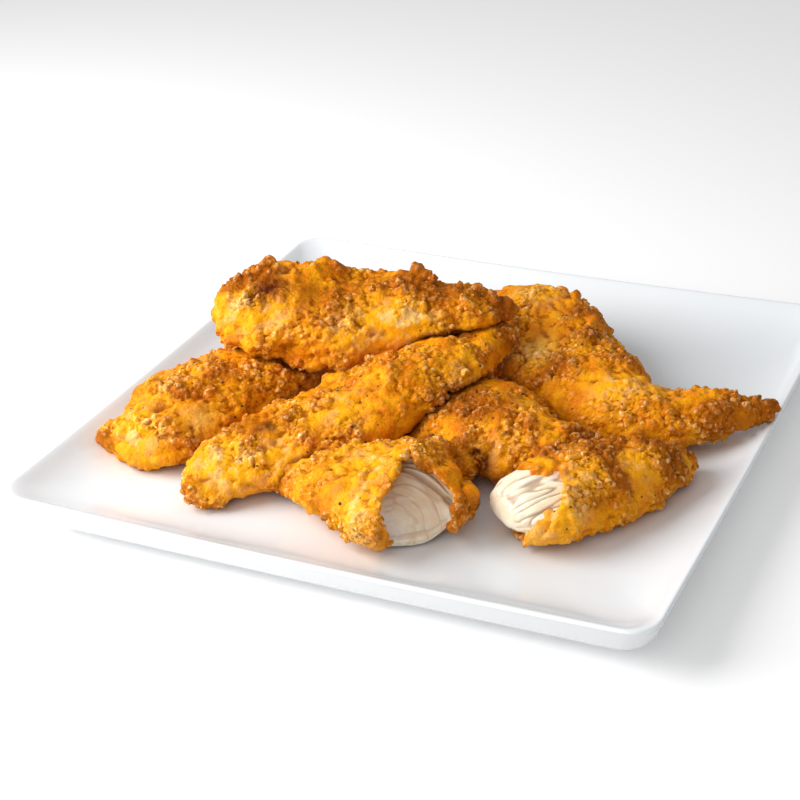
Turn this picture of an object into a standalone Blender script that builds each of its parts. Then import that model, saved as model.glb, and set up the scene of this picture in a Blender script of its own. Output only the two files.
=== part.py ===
"""Breaded chicken strips heaped on a square white plate.

Origin: middle of the plate's foot, on the table. +Z up, the plate's edges along X and Y.
The camera side of the heap is towards -Y and +X. All sizes below are millimetres times MM.
"""
import math

import bmesh
import bpy
from mathutils import Matrix, Vector, noise
from mathutils.bvhtree import BVHTree

MM = 0.001

# Plate: driving sizes
PLATE_HALF = 130.0 * MM
PLATE_CORNER = 11.0 * MM
RIM_TOP = 18.0 * MM
WELL_TOP = 8.0 * MM
CORNER_LIFT = 1.6 * MM
LIP_ROUND = 1.1 * MM
WELL_HALF = 90.0 * MM
FOOT_HALF = 101.0 * MM
FOOT_WIDTH = 6.0 * MM
FOOT_DEPTH = 2.0 * MM
CORNER_STEPS = 6
SIDE_STEPS = 3

# Heap: clearances and the size of the crust's lumps
GAP = 0.3 * MM
LUMP = 24.0 * MM
LUMP_HEIGHT = 3.2 * MM
KNOB = 11.0 * MM
KNOB_HEIGHT = 1.7 * MM
COATING = 3.2 * MM

AROUND = 18
ALONG = 24
TORN_AROUND = 16
TORN_ALONG = 16

# Each strip follows a few stations along its length. A station holds the centre (x, y, z), the half
# width, the half height and the lean in degrees, with lengths in millimetres.
LEFT_STRIP = [
    (-122, -73, 14, 2, 3, 0),
    (-113, -70, 15, 14, 9, 0),
    (-98, -61, 18, 25, 12, 4),
    (-87, -38, 21, 23, 13, 8),
    (-76, -12, 22, 20, 14, 0),
    (-66, 14, 20, 18, 12, 0),
    (-57, 40, 16, 8, 8, 0),
]
LONG_STRIP = [
    (-63, -98, 14, 14, 7, 0),
    (-55, -78, 17, 22, 10, 6),
    (-38, -57, 20, 22, 12, 8),
    (-20, -38, 25, 22, 14, 6),
    (-5, -18, 33, 20, 11, 0),
    (7, 6, 35, 16, 10, 0),
    (17, 32, 36, 9, 8, 0),
]
BACK_STRIP = [
    (-12, 30, 16, 8, 8, 0),
    (1, 8, 19, 19, 10, 0),
    (18, -18, 21, 28, 12, 4),
    (43, -28, 21, 21, 13, 6),
    (67, -32, 20, 14, 12, 0),
    (85, -30, 17, 6, 8, 0),
]
RIGHT_STRIP = [
    (-12, 77, 20, 12, 10, 0),
    (4, 71, 24, 21, 16, 8),
    (25, 54, 23, 25, 15, 14),
    (45, 30, 20, 23, 12, 10),
    (70, 13, 19, 20, 11, 4),
    (94, 12, 19, 16, 10, 0),
    (114, 20, 22, 11, 9, 0),
    (129, 27, 24, 5, 6, 0),
]
TOP_STRIP = [
    (-96, -14, 49, 14, 12, 20),
    (-84, -10, 49, 20, 14, 26),
    (-63, -2, 47, 24, 14, 30),
    (-40, 6, 45, 23, 12.5, 26),
    (-16, 16, 45.5, 18, 11, 20),
    (5, 26, 46, 13, 8.5, 12),
    (19, 33, 46, 6, 5, 0),
]
FRONT_HALF = [
    (-32, -77, 15, 8, 7, 0),
    (-18, -77, 19, 15, 10, 0),
    (2, -79, 21, 25, 13, 0),
    (18, -80, 22, 31, 15, 0),
    (32, -76, 21, 27, 14, 0),
    (40, -72, 17, 13, 8, 0),
]
RIGHT_HALF = [
    (40, -88, 17, 17, 9, 0),
    (60, -72, 20, 21, 12, 6),
    (75, -56, 20, 21, 13, 8),
    (89, -38, 20, 18, 12, 6),
    (99, -22, 18, 12, 10, 0),
    (104, -12, 16, 7, 6, 0),
]

# The front half's coating is torn open along this outline, which faces the opening's direction
FRONT_MOUTH = [
    (16, -69, 33), (20, -69, 31), (23, -70, 29), (28, -70, 26), (32, -71, 23), (35, -73, 20),
    (36, -75, 18), (37, -78, 15), (38, -82, 12), (39, -88, 6), (29, -96, 4), (18, -101, 6),
    (17, -96, 10), (14, -92, 15), (13, -89, 19), (12, -85, 22), (14, -79, 26), (15, -74, 30),
]
FRONT_MOUTH_FACING = (0.389, -0.790, 0.474)
FRONT_MOUTH_REACH = (26.0 * MM, 8.0 * MM)
FRONT_HOLLOW = ((27, -87, 41), 24.0 * MM)

# The right half's torn end: a point on each tear and the direction that it faces
RIGHT_COATING_TEAR = ((69, -67, 24), (-0.55, -0.42, 0.72))
RIGHT_MEAT_TEAR = ((55, -79, 20), (-0.63, -0.76, 0.16))
TEAR_REACH = 48.0 * MM
TEAR_WAVE = 2.2 * MM
TEAR_WAVE_LENGTH = 17.0 * MM

PORCELAIN = ("porcelain", (0.87, 0.87, 0.86, 1.0), 0.12)
FRIED_CRUST = ("fried_crust", (0.62, 0.25, 0.035, 1.0), 0.55)
CHICKEN_MEAT = ("chicken_meat", (0.80, 0.70, 0.55, 1.0), 0.50)


def clear_scene():
    for old in list(bpy.data.objects):
        bpy.data.objects.remove(old, do_unlink=True)


def new_collection(name):
    collection = bpy.data.collections.new(name)
    bpy.context.scene.collection.children.link(collection)
    return collection


def principled(look):
    name, colour, roughness = look
    material = bpy.data.materials.new(name)
    material.use_nodes = True
    shader = material.node_tree.nodes["Principled BSDF"]
    shader.inputs["Base Color"].default_value = colour
    shader.inputs["Roughness"].default_value = roughness
    shader.inputs["Metallic"].default_value = 0.0
    material.diffuse_color = colour
    return material


def new_object(name, bm, collection, material=None):
    """A new object that takes over the bmesh."""
    mesh = bpy.data.meshes.new(name)
    bm.to_mesh(mesh)
    bm.free()
    obj = bpy.data.objects.new(name, mesh)
    collection.objects.link(obj)
    if material is not None:
        mesh.materials.append(material)
    return obj


# Plate

def square_ring(bm, half, corner, height, lift):
    """One closed ring of a square with round corners; the corners stand up by lift."""
    points = []
    straight = half - corner
    for quarter in range(4):
        turn = Matrix.Rotation(quarter * math.pi / 2, 3, "Z")
        for step in range(CORNER_STEPS + 1):
            angle = step / CORNER_STEPS * math.pi / 2
            x = straight + corner * math.cos(angle)
            y = straight + corner * math.sin(angle)
            points.append(turn @ Vector((x, y, 0.0)))
        for step in range(1, SIDE_STEPS + 1):
            x = straight * (1 - 2 * step / (SIDE_STEPS + 1))
            points.append(turn @ Vector((x, half, 0.0)))
    ring = []
    for point in points:
        towards_corner = abs(point.x * point.y) / (half * half)
        point.z = height + lift * towards_corner ** 2
        ring.append(bm.verts.new(point))
    return ring


def join_rings(bm, lower, upper):
    count = len(lower)
    for i in range(count):
        j = (i + 1) % count
        bm.faces.new((lower[i], lower[j], upper[j], upper[i]))


def build_plate(collection, material):
    """A shallow dish: flat well, sides that curve up to a thin round lip, a steep wall over an undercut and a foot."""
    underside = FOOT_HALF - FOOT_WIDTH
    profile = [
        (WELL_HALF, 22 * MM, WELL_TOP, 0.0),
        (103 * MM, 19 * MM, WELL_TOP + 0.7 * MM, 0.1),
        (113 * MM, 16 * MM, WELL_TOP + 2.6 * MM, 0.3),
        (121 * MM, 14 * MM, WELL_TOP + 5.6 * MM, 0.6),
        (126.5 * MM, 12 * MM, RIM_TOP - 1.1 * MM, 0.9),
        (PLATE_HALF - 2 * LIP_ROUND, PLATE_CORNER, RIM_TOP - 0.15 * MM, 1.0),
        (PLATE_HALF - LIP_ROUND, PLATE_CORNER, RIM_TOP, 1.0),
        (PLATE_HALF, PLATE_CORNER, RIM_TOP - LIP_ROUND, 1.0),
        (PLATE_HALF - 0.7 * MM, PLATE_CORNER, RIM_TOP - 2.4 * MM, 0.9),
        (128 * MM, 11 * MM, 12.2 * MM, 0.7),
        (126.4 * MM, 11 * MM, 8.8 * MM, 0.5),
        (125 * MM, 11 * MM, 7.1 * MM, 0.4),
        (119 * MM, 11 * MM, 4.9 * MM, 0.2),
        (109 * MM, 10 * MM, 2.0 * MM, 0.0),
        (FOOT_HALF, 10 * MM, 0.0, 0.0),
        (underside, 10 * MM, 0.0, 0.0),
        (underside - 1.5 * MM, 10 * MM, FOOT_DEPTH, 0.0),
    ]
    bm = bmesh.new()
    rings = [square_ring(bm, half, corner, z, CORNER_LIFT * share) for half, corner, z, share in profile]
    for inner, outer in zip(rings, rings[1:]):
        join_rings(bm, inner, outer)
    for ring, height in ((rings[0], WELL_TOP), (rings[-1], FOOT_DEPTH)):
        middle = bm.verts.new((0.0, 0.0, height))
        for i, vert in enumerate(ring):
            bm.faces.new((middle, vert, ring[(i + 1) % len(ring)]))
    bmesh.ops.triangulate(bm, faces=bm.faces[:])
    bmesh.ops.recalc_face_normals(bm, faces=bm.faces[:])
    plate = new_object("plate", bm, collection, material)
    plate.data.shade_smooth()
    plate.data.set_sharp_from_angle(angle=math.radians(50))
    return plate


# Strips

def smooth_station(stations, along):
    """The six values of a strip at along, from 0 to 1, on a smooth curve through its stations."""
    place = along * (len(stations) - 1)
    index = min(int(place), len(stations) - 2)
    t = place - index
    before = stations[max(index - 1, 0)]
    here = stations[index]
    there = stations[index + 1]
    after = stations[min(index + 2, len(stations) - 1)]
    values = []
    for a, b, c, d in zip(before, here, there, after):
        curve = 2 * b + (c - a) * t + (2 * a - 5 * b + 4 * c - d) * t * t + (3 * b - a - 3 * c + d) * t ** 3
        values.append(curve / 2)
    return values


def crust_relief(point, seed):
    """Height of the crust's lumps at a point: broad swellings and smaller knobs."""
    offset = Vector((seed * 3.17, seed * 7.31, seed * 1.73))
    broad = noise.noise(point / LUMP + offset) * LUMP_HEIGHT
    knobs = noise.noise(point / KNOB + offset * 1.9) * KNOB_HEIGHT
    return broad + knobs


def strip_body(stations, seed, around, along, shrink=0.0):
    """A closed strip: a sphere whose poles are the two ends, drawn out along the stations."""
    bm = bmesh.new()
    bmesh.ops.create_uvsphere(bm, u_segments=around, v_segments=along, radius=1.0)
    for vert in bm.verts:
        pole = vert.co.z
        share = (1 + pole) / 2
        ring = Vector((vert.co.x, vert.co.y))
        direction = ring.normalized() if ring.length > 1e-6 else Vector((0.0, 0.0))
        x, y, z, half_width, half_height, lean = smooth_station(stations, share)
        ahead = Vector(smooth_station(stations, min(share + 0.01, 1.0))[:3])
        behind = Vector(smooth_station(stations, max(share - 0.01, 0.0))[:3])
        forward = (ahead - behind).normalized()
        side = Vector((0, 0, 1)).cross(forward).normalized()
        up = forward.cross(side)
        turn = Matrix.Rotation(math.radians(lean), 3, forward)
        side = turn @ side
        up = turn @ up
        end_round = (1 - min(abs(pole), 1.0) ** 3) ** 0.5
        reach_side = max(half_width * MM - shrink, 0.5 * MM)
        reach_up = max(half_height * MM - shrink, 0.5 * MM)
        centre = Vector((x, y, z)) * MM - forward * shrink * pole
        out = side * direction.x * reach_side + up * direction.y * reach_up
        surface = centre + out * end_round
        outward = (out / max(out.length, 1e-6)) if end_round > 0 else forward * pole
        relief = crust_relief(surface, seed) * min(1.0, reach_side / (12 * MM))
        vert.co = surface + outward * relief
    return bm


def rest_on(bm, plate):
    """Flattens a strip's underside where it would sink into the plate."""
    plate_bm = bmesh.new()
    plate_bm.from_mesh(plate.data)
    tree = BVHTree.FromBMesh(plate_bm)
    plate_bm.free()
    for vert in bm.verts:
        hit = tree.ray_cast(Vector((vert.co.x, vert.co.y, 0.2)), Vector((0, 0, -1)))[0]
        if hit is not None:
            vert.co.z = max(vert.co.z, hit.z + 1.5 * GAP)
    bmesh.ops.triangulate(bm, faces=bm.faces[:])
    return bm


def swollen(obj, cutters, gap=1.5 * GAP):
    """A cutter: the object grown by the gap that neighbours keep."""
    bm = bmesh.new()
    bm.from_mesh(obj.data)
    bm.normal_update()
    moves = [vert.normal * gap for vert in bm.verts]
    for vert, move in zip(bm.verts, moves):
        vert.co += move
    cutter = new_object(obj.name + "_cutter", bm, cutters)
    cutter.hide_render = True
    cutter.display_type = "WIRE"
    return cutter


def carve(obj, cutter_objects):
    """Cuts the cutters out of an object, applies the result and keeps its largest body."""
    for cutter in cutter_objects:
        cut = obj.modifiers.new("cut_by_" + cutter.name, "BOOLEAN")
        cut.operation = "DIFFERENCE"
        cut.solver = "EXACT"
        cut.object = cutter
    evaluated = obj.evaluated_get(bpy.context.evaluated_depsgraph_get())
    bm = bmesh.new()
    bm.from_mesh(evaluated.to_mesh())
    obj.modifiers.clear()
    keep_largest_body(bm)
    bmesh.ops.triangulate(bm, faces=bm.faces[:])
    bm.to_mesh(obj.data)
    bm.free()


def keep_largest_body(bm):
    waiting = set(bm.verts)
    bodies = []
    while waiting:
        body = set()
        stack = [waiting.pop()]
        while stack:
            vert = stack.pop()
            body.add(vert)
            for edge in vert.link_edges:
                other = edge.other_vert(vert)
                if other in waiting:
                    waiting.discard(other)
                    stack.append(other)
        bodies.append(body)
    bodies.sort(key=len, reverse=True)
    loose = [vert for body in bodies[1:] for vert in body]
    bmesh.ops.delete(bm, geom=loose, context="VERTS")


def build_strip(name, stations, seed, plate, collection, material):
    bm = rest_on(strip_body(stations, seed, AROUND, ALONG), plate)
    strip = new_object(name, bm, collection, material)
    strip.data.shade_smooth()
    return strip


# Torn halves

def hidden_cutter(name, bm, cutters):
    cutter = new_object(name, bm, cutters)
    cutter.hide_render = True
    cutter.display_type = "WIRE"
    return cutter


def tear_block(name, tear, seed, cutters):
    """A block with one wavy face, which takes away all that lies beyond the tear."""
    point, facing = tear
    facing = Vector(facing).normalized()
    turn = facing.to_track_quat("Z", "Y").to_matrix()
    centre = Vector(point) * MM
    bm = bmesh.new()
    bmesh.ops.create_grid(bm, x_segments=12, y_segments=12, size=TEAR_REACH)
    for vert in bm.verts:
        wave = noise.noise(vert.co / TEAR_WAVE_LENGTH + Vector((seed, 0, 0)))
        vert.co.z = wave * TEAR_WAVE
        vert.co = centre + turn @ vert.co
    far = bmesh.ops.extrude_face_region(bm, geom=bm.faces[:])
    moved = [item for item in far["geom"] if isinstance(item, bmesh.types.BMVert)]
    bmesh.ops.translate(bm, verts=moved, vec=facing * 2 * TEAR_REACH)
    bmesh.ops.triangulate(bm, faces=bm.faces[:])
    bmesh.ops.recalc_face_normals(bm, faces=bm.faces[:])
    return hidden_cutter(name, bm, cutters)


def mouth_block(name, outline, cutters):
    """A block that takes away the coating inside an outline."""
    before, behind = FRONT_MOUTH_REACH
    facing = Vector(FRONT_MOUTH_FACING).normalized()
    bm = bmesh.new()
    verts = [bm.verts.new(Vector(point) * MM - facing * behind) for point in outline]
    back = bm.faces.new(verts)
    front = bmesh.ops.extrude_face_region(bm, geom=[back])
    moved = [item for item in front["geom"] if isinstance(item, bmesh.types.BMVert)]
    bmesh.ops.translate(bm, verts=moved, vec=facing * (before + behind))
    bmesh.ops.triangulate(bm, faces=bm.faces[:])
    bmesh.ops.recalc_face_normals(bm, faces=bm.faces[:])
    return hidden_cutter(name, bm, cutters)


def hollow_ball(name, hollow, cutters):
    """A ball that takes a shallow hollow out of the torn meat."""
    centre, radius = hollow
    bm = bmesh.new()
    bmesh.ops.create_icosphere(bm, subdivisions=3, radius=radius, matrix=Matrix.Translation(Vector(centre) * MM))
    return hidden_cutter(name, bm, cutters)


def build_torn_half(name, stations, seed, plate, neighbours, openings, collections, looks):
    """A coating that is open where it is torn, and the meat that runs through it."""
    collection, cutters = collections
    crust_look, meat_look = looks
    coating_openings, meat_openings = openings
    outer = rest_on(strip_body(stations, seed, TORN_AROUND, TORN_ALONG), plate)
    inner = strip_body(stations, seed, TORN_AROUND, TORN_ALONG, shrink=COATING)
    for vert in inner.verts:
        vert.co.z = max(vert.co.z, WELL_TOP + COATING * 0.8)
    bmesh.ops.triangulate(inner, faces=inner.faces[:])
    coating = new_object(name + "_coating", outer, collection, crust_look)
    meat = new_object(name + "_meat", inner, collection, meat_look)
    core = swollen(meat, cutters)
    carve(coating, neighbours + [core] + coating_openings)
    carve(meat, neighbours + meat_openings)
    coating.data.shade_smooth()
    meat.data.shade_smooth()


# Heap

clear_scene()
parts = new_collection("chicken_strips_on_plate")
cutters = new_collection("cutters")
porcelain = principled(PORCELAIN)
crust = principled(FRIED_CRUST)
chicken = principled(CHICKEN_MEAT)

plate = build_plate(parts, porcelain)
left_strip = build_strip("tender_left", LEFT_STRIP, 1, plate, parts, crust)
long_strip = build_strip("tender_long", LONG_STRIP, 2, plate, parts, crust)
back_strip = build_strip("tender_back", BACK_STRIP, 3, plate, parts, crust)
right_strip = build_strip("tender_right", RIGHT_STRIP, 4, plate, parts, crust)
top_strip = build_strip("tender_top", TOP_STRIP, 5, plate, parts, crust)

# What lies underneath keeps its shape, and what lies on or against it is pressed in where they meet
grown = {}
for strip in (left_strip, back_strip, right_strip, long_strip, top_strip):
    grown[strip.name] = swollen(strip, cutters)
carve(right_strip, [grown["tender_back"]])
carve(long_strip, [grown["tender_back"], grown["tender_left"], grown["tender_right"]])
carve(top_strip, [grown["tender_left"], grown["tender_long"], grown["tender_back"], grown["tender_right"]])

collections = (parts, cutters)
looks = (crust, chicken)
front_openings = (
    [mouth_block("torn_front_mouth", FRONT_MOUTH, cutters)],
    [hollow_ball("torn_front_hollow", FRONT_HOLLOW, cutters)],
)
right_openings = (
    [tear_block("torn_right_tear", RIGHT_COATING_TEAR, 7, cutters)],
    [tear_block("torn_right_meat_tear", RIGHT_MEAT_TEAR, 7.4, cutters)],
)
front_neighbours = [grown["tender_long"], grown["tender_back"]]
right_neighbours = [grown["tender_back"], grown["tender_right"]]
build_torn_half("torn_front", FRONT_HALF, 6, plate, front_neighbours, front_openings, collections, looks)
build_torn_half("torn_right", RIGHT_HALF, 7, plate, right_neighbours, right_openings, collections, looks)
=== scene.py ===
"""A heap of breaded chicken strips on a square porcelain plate: the finish of every surface."""
import math
import random

import bmesh
import bpy
import numpy as np
from mathutils import Matrix, Vector
from mathutils.bvhtree import BVHTree


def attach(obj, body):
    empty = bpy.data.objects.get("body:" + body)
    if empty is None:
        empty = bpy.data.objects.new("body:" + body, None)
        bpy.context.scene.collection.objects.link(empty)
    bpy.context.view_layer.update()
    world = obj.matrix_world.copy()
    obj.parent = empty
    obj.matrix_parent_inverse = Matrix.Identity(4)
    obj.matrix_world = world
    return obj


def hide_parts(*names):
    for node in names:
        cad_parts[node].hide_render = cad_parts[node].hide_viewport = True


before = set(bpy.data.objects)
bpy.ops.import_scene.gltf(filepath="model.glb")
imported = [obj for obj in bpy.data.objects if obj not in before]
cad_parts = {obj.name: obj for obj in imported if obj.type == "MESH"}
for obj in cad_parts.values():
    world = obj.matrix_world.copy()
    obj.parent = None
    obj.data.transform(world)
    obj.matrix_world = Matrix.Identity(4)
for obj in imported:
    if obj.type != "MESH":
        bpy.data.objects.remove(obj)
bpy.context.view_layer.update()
MM = 0.001

# Camera, floor and light
# The dish is seen from 28 degrees above and towards its front right corner, through a long lens.
# A large soft lamp stands near at the left, a weaker one in front, and a pale room fills the shadows.

VIEW_TURN = math.radians(26.25)
VIEW_RISE = math.radians(28.30)
VIEW_ROLL = math.radians(-3.25)
VIEW_DISTANCE = 739.5 * MM
VIEW_TARGET = Vector((-16.4, -8.1, 18.0)) * MM
FOCAL_PIXELS = 1815.7
FRAME_PIXELS = 800
SENSOR = 36.0
LAMPS = [  # name, direction, distance, size and power
    ("soft_lamp", (-0.74, -0.42, 0.54), 660 * MM, 640 * MM, 6.7),
    ("front_fill", (0.10, -0.82, 0.55), 1100 * MM, 900 * MM, 2.6),
]
ROOM_BRIGHTNESS = 0.44
FLOOR_HALF = 3.0
FLOOR_GLOW = 0.12
NEAREST_SEEN = 10 * MM

back = Vector((math.sin(VIEW_TURN) * math.cos(VIEW_RISE),
               -math.cos(VIEW_TURN) * math.cos(VIEW_RISE),
               math.sin(VIEW_RISE)))
level_right = Vector((math.cos(VIEW_TURN), math.sin(VIEW_TURN), 0.0))
level_up = back.cross(level_right)
view_right = level_right * math.cos(VIEW_ROLL) + level_up * math.sin(VIEW_ROLL)
view_up = level_up * math.cos(VIEW_ROLL) - level_right * math.sin(VIEW_ROLL)
eye = VIEW_TARGET + back * VIEW_DISTANCE

lens = bpy.data.cameras.new("camera")
lens.sensor_width = SENSOR
lens.lens = SENSOR * FOCAL_PIXELS / FRAME_PIXELS
lens.clip_start = NEAREST_SEEN
camera = bpy.data.objects.new("camera", lens)
bpy.context.scene.collection.objects.link(camera)
camera.matrix_world = Matrix.Translation(eye) @ Matrix((view_right, view_up, back)).transposed().to_4x4()
bpy.context.scene.camera = camera
bpy.context.scene.view_settings.view_transform = "Standard"


def view_ray(pixel_x, pixel_y):
    """The direction from the eye through a pixel of the photograph."""
    across = (pixel_x - FRAME_PIXELS / 2) / FOCAL_PIXELS
    down = (pixel_y - FRAME_PIXELS / 2) / FOCAL_PIXELS
    return (view_right * across - view_up * down - back).normalized()


for lamp_name, lamp_direction, lamp_distance, lamp_size, lamp_power in LAMPS:
    lamp_light = bpy.data.lights.new(lamp_name, "AREA")
    lamp_light.shape = "DISK"
    lamp_light.size = lamp_size
    lamp_light.energy = lamp_power
    lamp = bpy.data.objects.new(lamp_name, lamp_light)
    bpy.context.scene.collection.objects.link(lamp)
    towards_lamp = Vector(lamp_direction).normalized()
    lamp.location = VIEW_TARGET + towards_lamp * lamp_distance
    lamp.rotation_euler = towards_lamp.to_track_quat("Z", "Y").to_euler()

room = bpy.data.worlds.new("room")
room.use_nodes = True
room.node_tree.nodes["Background"].inputs["Color"].default_value = (1.0, 1.0, 1.0, 1.0)
room.node_tree.nodes["Background"].inputs["Strength"].default_value = ROOM_BRIGHTNESS
bpy.context.scene.world = room


class Value:
    """A socket of a material; arithmetic on it adds Math nodes."""

    def __init__(self, paint, socket):
        self.paint = paint
        self.socket = socket

    def math(self, operation, first, second=None):
        values = {0: first} if second is None else {0: first, 1: second}
        return self.paint.node("ShaderNodeMath", {"operation": operation}, values).out(0)

    def __add__(self, other):
        return self.math("ADD", self, other)

    def __rsub__(self, other):
        return self.math("SUBTRACT", other, self)

    def __mul__(self, other):
        return self.math("MULTIPLY", self, other)

    __radd__ = __add__
    __rmul__ = __mul__

    def power(self, other):
        return self.math("POWER", self, other)

    def between(self, low, high):
        """0 below low, 1 above high and a smooth step from one to the other."""
        settings = {"interpolation_type": "SMOOTHSTEP"}
        values = {"Value": self, "From Min": low, "From Max": high}
        return self.paint.node("ShaderNodeMapRange", settings, values).out("Result")


class Node:
    """A node of a material."""

    def __init__(self, paint, node):
        self.paint = paint
        self.made = node

    def out(self, name):
        return Value(self.paint, self.made.outputs[name])


class Paint:
    """A material that is written as expressions."""

    def __init__(self, name):
        self.material = bpy.data.materials.new(name)
        self.material.use_nodes = True
        self.tree = self.material.node_tree
        self.shader = self.tree.nodes["Principled BSDF"]

    def node(self, kind, settings, values):
        made = self.tree.nodes.new(kind)
        for name, setting in settings.items():
            setattr(made, name, setting)
        for name, value in values.items():
            self.feed(made.inputs[name], value)
        return Node(self, made)

    def feed(self, socket, value):
        if isinstance(value, Value):
            self.tree.links.new(value.socket, socket)
        elif isinstance(value, (tuple, list)) and len(value) == 3 and socket.type == "RGBA":
            socket.default_value = (*value, 1.0)
        else:
            socket.default_value = value

    def finish(self, **values):
        """Feeds the shader: a keyword names a socket, with _ for a space."""
        for name, value in values.items():
            self.feed(self.shader.inputs[name.replace("_", " ")], value)

    def place(self):
        return self.node("ShaderNodeTexCoord", {}, {}).out("Object")

    def mark(self, name):
        return self.node("ShaderNodeAttribute", {"attribute_name": name}, {}).out("Fac")

    def noise(self, size, detail=2.0, rough=0.5):
        """Smooth noise from 0 to 1 whose features are about size across."""
        values = {"Vector": self.place(), "Scale": 1.0 / size, "Detail": detail, "Roughness": rough}
        return self.node("ShaderNodeTexNoise", {}, values).out(0)

    def grains(self, size):
        """A number from 0 to 1 for each grain of about this size."""
        values = {"Vector": self.place(), "Scale": 1.0 / size}
        return self.node("ShaderNodeTexVoronoi", {}, values).out("Color")

    def bumps(self, size):
        """The roundness of grains of about this size: 1 in the middle of each."""
        values = {"Vector": self.place(), "Scale": 1.0 / size}
        return 1 - self.node("ShaderNodeTexVoronoi", {}, values).out("Distance").power(2.0)

    def mix(self, first, second, share):
        """A colour between two."""
        mixer = self.node("ShaderNodeMix", {"data_type": "RGBA"}, {0: share})
        self.feed(mixer.made.inputs[6], first)
        self.feed(mixer.made.inputs[7], second)
        return mixer.out(2)

    def bump(self, height, strength, distance):
        values = {"Height": height, "Strength": strength, "Distance": distance}
        return self.node("ShaderNodeBump", {}, values).out("Normal")


floor_bm = bmesh.new()
bmesh.ops.create_grid(floor_bm, x_segments=1, y_segments=1, size=FLOOR_HALF)
floor_mesh = bpy.data.meshes.new("floor")
floor_bm.to_mesh(floor_mesh)
floor_bm.free()
floor = bpy.data.objects.new("floor", floor_mesh)
bpy.context.scene.collection.objects.link(floor)
floor_paint = Paint("floor_paper")
floor_paint.finish(Base_Color=(0.95, 0.95, 0.95), Roughness=0.9, Specular_IOR_Level=0.1,
                   Emission_Color=(1.0, 1.0, 1.0), Emission_Strength=FLOOR_GLOW)
floor_mesh.materials.append(floor_paint.material)


# Plate
# A square dish of white porcelain, slip cast in one piece and glazed all over but for its foot.
# Its well is flat, its sides curve up to a thin round lip, and its outer wall is steep
# and undercut.

CORNER_POINTS = 8
SIDE_POINTS = 26
CORNER_LIFT = 1.6 * MM
RING_SPACING = 2.6
# How far from the food the oil stain and painted warm glow reach, and the height above which they lie.
OIL_AND_GLOW_SPREAD = 2.8 * MM
OIL_AND_GLOW_FROM = 7 * MM
GLAZED_FROM = (0.2 * MM, 0.6 * MM)
# Each row is a ring: half width, corner radius and height in mm, and its share of the corners' lift
WELL_ROWS = [(2.0, 0.6, 8.0, 0.0), (30.0, 8.0, 8.0, 0.0), (60.0, 15.0, 8.0, 0.0), (90.0, 22.0, 8.0, 0.0)]
SIDE_ROWS = [(103.0, 19, 8.7, 0.1), (113.0, 16, 10.6, 0.3), (121.0, 14, 13.6, 0.6), (126.5, 12, 16.9, 0.9)]
LIP_ROWS = [(128.2, 11, 17.8, 1.0), (129.1, 11, 18.0, 1.0), (129.8, 11, 17.7, 1.0), (130.0, 11, 16.9, 1.0)]
WALL_ROWS = [(129.3, 11, 15.6, 0.9), (128.0, 11, 12.2, 0.7), (126.4, 11, 8.8, 0.5), (125.0, 11, 7.1, 0.4),
             (119.0, 11, 4.8, 0.2), (109.0, 10, 1.8, 0.0)]
FOOT_ROWS = [(101.4, 10, 0.5, 0.0), (100.9, 10, 0.05, 0.0), (95.3, 10, 0.05, 0.0), (94.7, 10, 0.4, 0.0),
             (93.8, 10, 1.8, 0.0), (92.5, 10, 2.0, 0.0), (50.0, 10, 2.0, 0.0), (2.0, 0.6, 2.0, 0.0)]


def smooth_through(rows, place):
    """The values at place, counted in rows, on a smooth curve through the rows."""
    index = min(int(place), len(rows) - 2)
    t = place - index
    before, here = rows[max(index - 1, 0)], rows[index]
    there, after = rows[index + 1], rows[min(index + 2, len(rows) - 1)]
    return [
        (2 * b + (c - a) * t + (2 * a - 5 * b + 4 * c - d) * t * t
         + (3 * b - a - 3 * c + d) * t ** 3) / 2
        for a, b, c, d in zip(before, here, there, after)
    ]


def plate_rings():
    """All rings from the well's middle over the lip to the foot's middle."""
    rows = WELL_ROWS + SIDE_ROWS + LIP_ROWS + WALL_ROWS
    rings = []
    for index in range(len(rows) - 1):
        steps = math.ceil(max(math.dist(rows[index][:3:2], rows[index + 1][:3:2]) / RING_SPACING, 2))
        rings += [smooth_through(rows, index + part / steps) for part in range(steps)]
    return rings + [rows[-1]] + FOOT_ROWS


def square_outline(half, corner):
    """The points of a square with round corners."""
    straight = half - corner
    outline = []
    for quarter in range(4):
        turn = Matrix.Rotation(quarter * math.pi / 2, 2)
        for step in range(CORNER_POINTS + 1):
            angle = step / CORNER_POINTS * math.pi / 2
            point = Vector((straight + corner * math.cos(angle), straight + corner * math.sin(angle)))
            outline.append(turn @ point)
        for step in range(1, SIDE_POINTS + 1):
            outline.append(turn @ Vector((straight * (1 - 2 * step / (SIDE_POINTS + 1)), half)))
    return outline


def new_piece(name, mesh, paint):
    """A finished piece, which rides with the rest."""
    piece = bpy.data.objects.new(name, mesh)
    bpy.context.scene.collection.objects.link(piece)
    mesh.materials.clear()
    mesh.materials.append(paint.material)
    mesh.shade_smooth()
    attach(piece, "root")
    return piece


glaze = Paint("white_glaze")
height_above_table = glaze.node("ShaderNodeSeparateXYZ", {}, {0: glaze.place()}).out("Z")
bare_clay = 1 - height_above_table.between(*GLAZED_FROM)
glaze_white = glaze.mix((0.785, 0.815, 0.835), (0.81, 0.84, 0.86), glaze.noise(60 * MM))
# Painted shade: the outer wall and the underside, which face down, are painted grey.
glaze_white = glaze.mix(glaze_white, (0.62, 0.63, 0.64), 0.8 * glaze.mark("outside"))
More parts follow.
